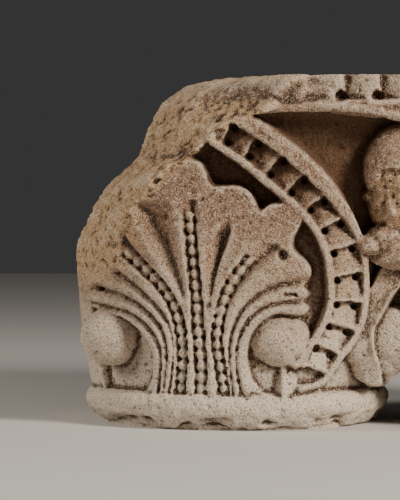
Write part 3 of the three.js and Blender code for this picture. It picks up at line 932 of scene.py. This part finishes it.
wear += broken * roughness(points, weather["breakForms"])
wear += broken * roughness(points, weather["breakGrain"])
wear -= broken * weather["breakPitDepth"] * ramp(0.68, 0.9, lumps(points, *weather["breakPits"]))
wear -= scuffed * roughness(points, weather["scuffs"], weather["scuffDepth"])
wear += ringWear * (roughness(points, weather["ring"]) - weather["ringLoss"])
wear -= lowEdge * weather["chipDepth"] * ramp(-0.1, 0.7, lumps(points, *weather["chips"]))
# the left front wears most and keeps the finest mesh, the right half less, the back least
shown = ramp(0.3, -0.4, normals[:, 1]) * (0.45 + 0.55 * ramp(20, -10, x))
shown = np.maximum(shown, np.maximum(0.6 * ramp(-180, -220, x), 0.1))
wear *= 0.55 + 0.45 * shown
under = z < 0.6
normals[under, 2] = 0
points += normals * wear[:, None]
points = np.clip(points, lowest, highest)
points[under, 2] = 0
movePoints(stone, points)

# how hollow each spot is, kept on the points for the colour: its distance from a smoothed copy of the stone

smoothing = {"rounds": 24, "share": 0.6, "range": 6}
applied(stone, "TRIANGULATE")
normals = readNormals(stone)
edges = np.empty(len(stone.data.edges) * 2, np.int64)
stone.data.edges.foreach_get("vertices", edges)
starts, stops = edges.reshape(-1, 2).T
neighbours = np.bincount(edges, minlength=len(points))[:, None]
smooth = points.copy()
for _ in range(smoothing["rounds"]):
    total = np.zeros_like(smooth)
    for axis in range(3):
        total[:, axis] += np.bincount(starts, smooth[stops, axis], len(points))
        total[:, axis] += np.bincount(stops, smooth[starts, axis], len(points))
    smooth = (1 - smoothing["share"]) * smooth + smoothing["share"] * total / neighbours
hollow = np.sum((smooth - points) * normals, axis=1)

# where the stone is broken off, cut back from the bell (brown patina with painted shade in that recess), or
# stained

patinaAndShade = {"fullRecess": 26, "paleRecess": 0.38, "darkRecess": 0.72, "lostHead": 0.6, "fainterBreakHollows": 0.2}
x, y, z = points.T
away = np.abs(x)
fromBreak = x - breakAt(y, z)
broken = ramp(16, 2, fromBreak) * ramp(110, 122, z)
inner = away < axisX
halfX = np.where(inner, bellAt("inner", z), bellAt("outer", z))
halfY = bellAt("deep", z)
power = np.where(inner, bellAt("innerPower", z), bellAt("outerPower", z))
reach = (np.abs((away - axisX) / halfX) ** power + np.abs(y / halfY) ** power) ** (1 / power)
behind = (halfY - y) * (y > 0) * ramp(80, 40, away)
recessPatinaAndShade = np.clip(np.maximum((1 - reach) * halfY, behind) / patinaAndShade["fullRecess"], 0, 1)
recessPatinaAndShade *= ramp(30, 40, z) * ramp(281, 274, z)
# painted shade: the recess tone is strongest high up, in the field towards the middle under the abacus, and
# on shallower spots above 190 mm
darkField = ramp(150, 215, z) * ramp(30, 60, axisX - away)
darkCells = ramp(190, 215, z) * ramp(0.75, 0.55, recessPatinaAndShade)
recessPatinaAndShade *= patinaAndShade["paleRecess"] + patinaAndShade["darkRecess"] * np.maximum(darkField, darkCells)
recessPatinaAndShade *= 1 - np.maximum(broken, ramp(36, 8, fromBreak) * ramp(108, 122, z) * ramp(-110, -85, y))
stained = ramp(276, 280, z) * ramp(297, 293, z) * ramp(-50, -110, x) * ramp(-60, -110, y)
underBrow = ramp(2, -4, z + head["browCurve"] * x ** 2 - head["brow"])
lostHead = ramp(36, 32, away) * ramp(168, 174, z) * underBrow
broken = np.maximum(broken, patinaAndShade["lostHead"] * lostHead * ramp(-100, -112, y))
hollow *= 1 - patinaAndShade["fainterBreakHollows"] * broken  # the break gets fainter hollow tones: less dirt and painted shade in its pits, less painted highlight on its ridges
hollow = np.clip(0.5 + hollow / smoothing["range"], 0, 1)
layers = {"hollow": hollow, "broken": broken, "recessPatinaAndShade": recessPatinaAndShade, "stained": stained}
for name, values in layers.items():
    layer = stone.data.attributes.new(name, "FLOAT", "POINT")
    layer.data.foreach_set("value", values.astype(np.float32))

print("thinning the mesh")
thinning = {"triangles": 194000, "keep": 0.9, "levels": 10, "factor": 0.006}
group = stone.vertex_groups.new(name="plain")
levels = np.round((1 - thinning["keep"] * shown) * thinning["levels"]) / thinning["levels"]
for level in np.unique(levels):
    group.add(np.nonzero(levels == level)[0].tolist(), float(level), "REPLACE")
ratio = thinning["triangles"] / len(stone.data.polygons)
applied(stone, "DECIMATE", ratio=ratio, vertex_group="plain", vertex_group_factor=thinning["factor"])
dropStrays(stone)
movePoints(stone, np.clip(readPoints(stone), lowest, highest))
only(stone)
bpy.ops.object.shade_smooth_by_angle(angle=math.radians(60))
print("triangles", len(stone.data.polygons))

# materials

def linear(hexColour):
    parts = [int(hexColour[i:i + 2], 16) / 255 for i in (1, 3, 5)]
    return [c / 12.92 if c <= 0.04045 else ((c + 0.055) / 1.055) ** 2.4 for c in parts] + [1]


# a socket is given either a value or another node's output
def addNode(tree, kind, sockets, **settings):
    node = tree.nodes.new(kind)
    for key, value in settings.items():
        setattr(node, key, value)
    for key, value in sockets.items():
        if isinstance(value, bpy.types.NodeSocket):
            tree.links.new(value, node.inputs[key])
        else:
            node.inputs[key].default_value = value
    return node


# weathered limestone: tooled, then rubbed and pitted; brown dirt and painted shade in the hollows, painted
# highlight on the ridges, yellower where it broke
# patterns are named with their size in mm and how much finer detail they have
# each tone goes over the ones before it: what it follows, where it starts and is full, the most of it, colour
limestone = {
    "patterns": {"stain": (40, 5), "grain": (1.2, 2), "pits": (1.8, 2)},
    "patternRoughness": 0.6,
    "base": "#cbb69f",
    "tones": [
        ("stain", 0.38, 0.66, 1, "#ab8d74"),
        ("height", 120 * mm, 30 * mm, 0.85, "#e2d5c4"),
        ("height", 80 * mm, 180 * mm, 0.88, "#886852"),
        # painted highlight: the abacus, from 280 mm up, paler as if its cell teeth catch the light
        ("height", 274 * mm, 280 * mm, 0.7, "#d3bea8"),
        ("broken", 0, 1, 0.85, "#c6a279"),
        ("stained", 0, 1, 0.9, "#735a47"),
        # painted highlight: ridges and crowns paler as if lit
        ("hollow", 0.46, 0.3, 0.5, "#dccdb8"),
        # brown dirt with painted shade: every hollow darkened as if shaded
        ("hollow", 0.508, 0.65, 1, "#4f3929"),
        ("grain", 0.53, 0.66, 0.6, "#e4d6c3"),
        ("grain", 0.47, 0.34, 0.65, "#5d4636"),
        # brown patina with painted shade, darkest deep in the cut-back field
        ("recessPatinaAndShade", 0.1, 0.47, 0.85, "#573d2b"),
        ("pits", 0.58, 0.66, 0.75, "#3d2c20"),
    ],
    "grainHeight": 0.7,
    "grainStrength": 0.6,
    "pitDepth": 2.2,
    "pitStrength": 0.7,
    "roughness": 0.95,
    "specular": 0.15,
}


def limestoneMaterial():
    material = bpy.data.materials.new("weatheredLimestone")
    material.use_nodes = True
    tree = material.node_tree
    place = addNode(tree, "ShaderNodeTexCoord", {}).outputs["Object"]
    sources = {"height": addNode(tree, "ShaderNodeSeparateXYZ", {"Vector": place}).outputs["Z"]}
    for name in layers:
        sources[name] = addNode(tree, "ShaderNodeAttribute", {}, attribute_name=name).outputs["Fac"]
    for name, (size, detail) in limestone["patterns"].items():
        noise = {"Vector": place, "Scale": 1 / (size * mm), "Detail": detail}
        noise["Roughness"] = limestone["patternRoughness"]
        sources[name] = addNode(tree, "ShaderNodeTexNoise", noise).outputs["Fac"]
    colour = linear(limestone["base"])
    for source, start, full, most, hexColour in limestone["tones"]:
        limits = {"Value": sources[source], "From Min": start, "From Max": full, "To Max": most}
        share = addNode(tree, "ShaderNodeMapRange", limits).outputs["Result"]
        mix = addNode(tree, "ShaderNodeMix", {0: share, 6: colour, 7: linear(hexColour)}, data_type="RGBA")
        colour = mix.outputs[2]
    rough = {"Height": sources["grain"], "Strength": limestone["grainStrength"]}
    rough["Distance"] = limestone["grainHeight"] * mm
    fine = addNode(tree, "ShaderNodeBump", rough).outputs["Normal"]
    pitted = {"Height": sources["pits"], "Strength": limestone["pitStrength"], "Normal": fine}
    pitted["Distance"] = limestone["pitDepth"] * mm
    deep = addNode(tree, "ShaderNodeBump", pitted, invert=True).outputs["Normal"]
    shader = tree.nodes["Principled BSDF"]
    tree.links.new(colour, shader.inputs["Base Color"])
    tree.links.new(deep, shader.inputs["Normal"])
    shader.inputs["Roughness"].default_value = limestone["roughness"]
    shader.inputs["Specular IOR Level"].default_value = limestone["specular"]
    return material


stone.data.materials.clear()
stone.data.materials.append(limestoneMaterial())
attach(stone, "root")
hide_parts("capital")

print("floor, light and camera")
# matt pale paper under the stone
floorLook = {"size": 8, "colour": "#d9d7d3", "roughness": 0.9}
bpy.ops.mesh.primitive_plane_add(size=floorLook["size"])
floor = named("floor")
paper = bpy.data.materials.new("palePaper")
paper.use_nodes = True
paperShader = paper.node_tree.nodes["Principled BSDF"]
paperShader.inputs["Base Color"].default_value = linear(floorLook["colour"])
paperShader.inputs["Roughness"].default_value = floorLook["roughness"]
floor.data.materials.append(paper)


# places in metres, power in watts
lights = {
    "rightLight": {"place": (1.7, -1.6, 1.2), "target": (0, 0, 0.15), "power": 84},
    "leftLight": {"place": (-2.1, -0.6, 1.2), "target": (-0.15, 0, 0.15), "power": 28},
}
lampSize = 0.6
lampColour = "#fff6ea"
for name, light in lights.items():
    bpy.ops.object.light_add(type="AREA", location=light["place"])
    lamp = named(name)
    lamp.data.size = lampSize
    lamp.data.energy = light["power"]
    lamp.data.color = linear(lampColour)[:3]
    way = Vector(light["target"]) - Vector(light["place"])
    lamp.rotation_euler = way.to_track_quat("-Z", "Y").to_euler()

studio = {"colour": "#e8e8ea", "strength": 0.05}
world = bpy.data.worlds.new("studio")
bpy.context.scene.world = world
world.use_nodes = True
background = world.node_tree.nodes["Background"]
background.inputs["Color"].default_value = linear(studio["colour"])
background.inputs["Strength"].default_value = studio["strength"]

view = {"place": (0, -2.4, 0.206), "target": (-0.18, 0, 0.15), "lens": 195, "sensor": 36}
bpy.ops.object.camera_add(location=view["place"])
camera = named("camera")
camera.rotation_euler = (Vector(view["target"]) - camera.location).to_track_quat("-Z", "Y").to_euler()
camera.data.lens = view["lens"]
camera.data.sensor_width = view["sensor"]
bpy.context.scene.camera = camera
